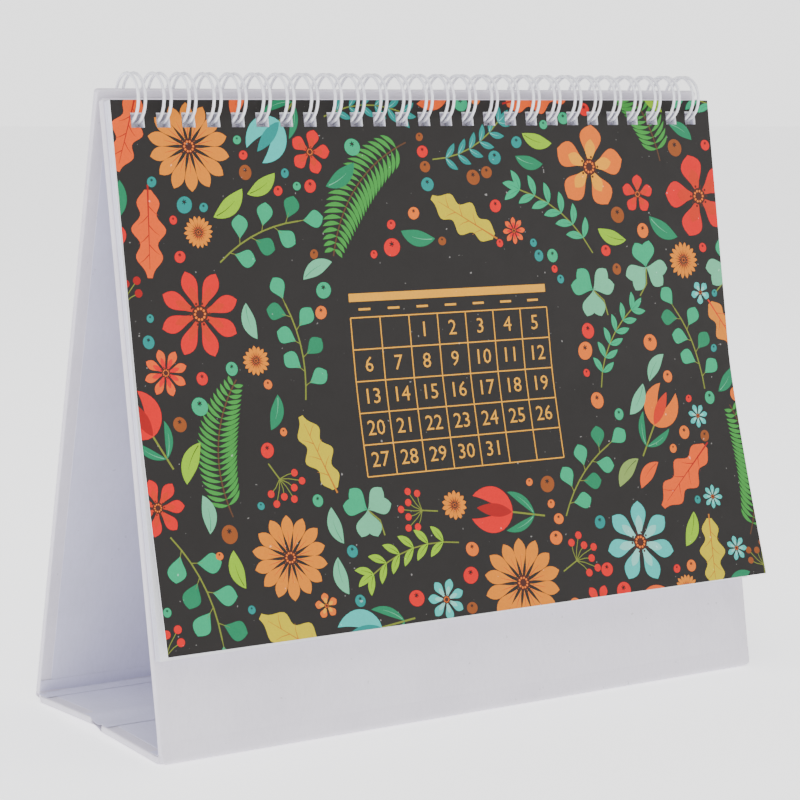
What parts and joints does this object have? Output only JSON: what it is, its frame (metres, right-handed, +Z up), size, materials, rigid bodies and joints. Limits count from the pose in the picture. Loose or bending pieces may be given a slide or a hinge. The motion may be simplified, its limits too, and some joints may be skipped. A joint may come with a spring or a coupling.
{
  "type": "flip desk calendar",
  "caption": "Flip desk calendar: a folding paper-covered easel with a creased base, a twin-loop wire along its top edge, and a printed cover over loose month leaves.",
  "frame": {"origin": "centre of the base's footprint, on the table", "axes": "+X along the wire, to the right when facing the cover; the cover faces -Y; +Z up"},
  "size_m": [0.2302, 0.0901, 0.203],
  "materials": {
    "greyboard": "matte",
    "cover_paper": "satin",
    "lining_paper": "matte",
    "page_paper": "matte",
    "cover_card": "satin",
    "coated_wire": "gloss"
  },
  "bodies": {
    "front_panel": {"front_core": "greyboard", "front_wrap": "cover_paper", "front_lining": "lining_paper", "crease_front": "cover_paper", "binding_wire": "coated_wire"},
    "base_front": {"base_front_core": "greyboard", "base_front_wrap": "cover_paper", "base_front_lining": "lining_paper", "crease_mid": "cover_paper"},
    "base_rear": {"base_rear_core": "greyboard", "base_rear_wrap": "cover_paper", "base_rear_lining": "lining_paper", "crease_rear": "cover_paper"},
    "back_panel": {"back_core": "greyboard", "back_wrap": "cover_paper", "back_lining": "lining_paper"},
    "leaf_01_sheet": {"leaf_01": "page_paper"},
    "leaf_02_sheet": {"leaf_02": "page_paper"},
    "leaf_03_sheet": {"leaf_03": "page_paper"},
    "leaf_04_sheet": {"leaf_04": "page_paper"},
    "leaf_05_sheet": {"leaf_05": "page_paper"},
    "leaf_06_sheet": {"leaf_06": "page_paper"},
    "leaf_07_sheet": {"leaf_07": "page_paper"},
    "leaf_08_sheet": {"leaf_08": "page_paper"},
    "leaf_09_sheet": {"leaf_09": "page_paper"},
    "leaf_10_sheet": {"leaf_10": "page_paper"},
    "leaf_11_sheet": {"leaf_11": "page_paper"},
    "leaf_12_sheet": {"leaf_12": "page_paper"},
    "cover_sheet": {"cover": "cover_card"}
  },
  "joints": [
    {"name": "easel_fold", "type": "hinge", "parent": "front_panel", "child": "base_front", "pos_m": [0, -0.04242, 0.0026], "axis": [1, 0, 0], "range_deg": [0, 76], "deforming": ["crease_front", "binding_wire"]},
    {"name": "mid_crease", "type": "hinge", "parent": "base_front", "child": "base_rear", "pos_m": [0, 0, -0.0002], "axis": [1, 0, 0], "range_deg": [-171.5, 0], "deforming": ["crease_mid"]},
    {"name": "rear_crease", "type": "hinge", "parent": "base_rear", "child": "back_panel", "pos_m": [0, 0.04212, 0.0026], "axis": [1, 0, 0], "range_deg": [0, 73.2], "deforming": ["crease_rear"]},
    {"name": "leaf_12_flip", "type": "hinge", "parent": "front_panel", "child": "leaf_12_sheet", "pos_m": [0, -0.01388, 0.19525], "axis": [-1, 0, 0], "range_deg": [0, 180]},
    {"name": "leaf_11_flip", "type": "hinge", "parent": "leaf_12_sheet", "child": "leaf_11_sheet", "pos_m": [0, -0.01388, 0.19525], "axis": [-1, 0, 0], "range_deg": [0, 180]},
    {"name": "leaf_10_flip", "type": "hinge", "parent": "leaf_11_sheet", "child": "leaf_10_sheet", "pos_m": [0, -0.01388, 0.19525], "axis": [-1, 0, 0], "range_deg": [0, 180]},
    {"name": "leaf_09_flip", "type": "hinge", "parent": "leaf_10_sheet", "child": "leaf_09_sheet", "pos_m": [0, -0.01388, 0.19525], "axis": [-1, 0, 0], "range_deg": [0, 180]},
    {"name": "leaf_08_flip", "type": "hinge", "parent": "leaf_09_sheet", "child": "leaf_08_sheet", "pos_m": [0, -0.01388, 0.19525], "axis": [-1, 0, 0], "range_deg": [0, 180]},
    {"name": "leaf_07_flip", "type": "hinge", "parent": "leaf_08_sheet", "child": "leaf_07_sheet", "pos_m": [0, -0.01388, 0.19525], "axis": [-1, 0, 0], "range_deg": [0, 180]},
    {"name": "leaf_06_flip", "type": "hinge", "parent": "leaf_07_sheet", "child": "leaf_06_sheet", "pos_m": [0, -0.01388, 0.19525], "axis": [-1, 0, 0], "range_deg": [0, 180]},
    {"name": "leaf_05_flip", "type": "hinge", "parent": "leaf_06_sheet", "child": "leaf_05_sheet", "pos_m": [0, -0.01388, 0.19525], "axis": [-1, 0, 0], "range_deg": [0, 180]},
    {"name": "leaf_04_flip", "type": "hinge", "parent": "leaf_05_sheet", "child": "leaf_04_sheet", "pos_m": [0, -0.01388, 0.19525], "axis": [-1, 0, 0], "range_deg": [0, 180]},
    {"name": "leaf_03_flip", "type": "hinge", "parent": "leaf_04_sheet", "child": "leaf_03_sheet", "pos_m": [0, -0.01388, 0.19525], "axis": [-1, 0, 0], "range_deg": [0, 180]},
    {"name": "leaf_02_flip", "type": "hinge", "parent": "leaf_03_sheet", "child": "leaf_02_sheet", "pos_m": [0, -0.01388, 0.19525], "axis": [-1, 0, 0], "range_deg": [0, 180]},
    {"name": "leaf_01_flip", "type": "hinge", "parent": "leaf_02_sheet", "child": "leaf_01_sheet", "pos_m": [0, -0.01388, 0.19525], "axis": [-1, 0, 0], "range_deg": [0, 180]},
    {"name": "cover_flip", "type": "hinge", "parent": "leaf_01_sheet", "child": "cover_sheet", "pos_m": [0, -0.01388, 0.19525], "axis": [-1, 0, 0], "range_deg": [0, 180]}
  ],
  "couplings": [
    {"joint": "mid_crease", "follows": "easel_fold", "ratio": -2.2436},
    {"joint": "rear_crease", "follows": "easel_fold", "ratio": 0.95}
  ]
}
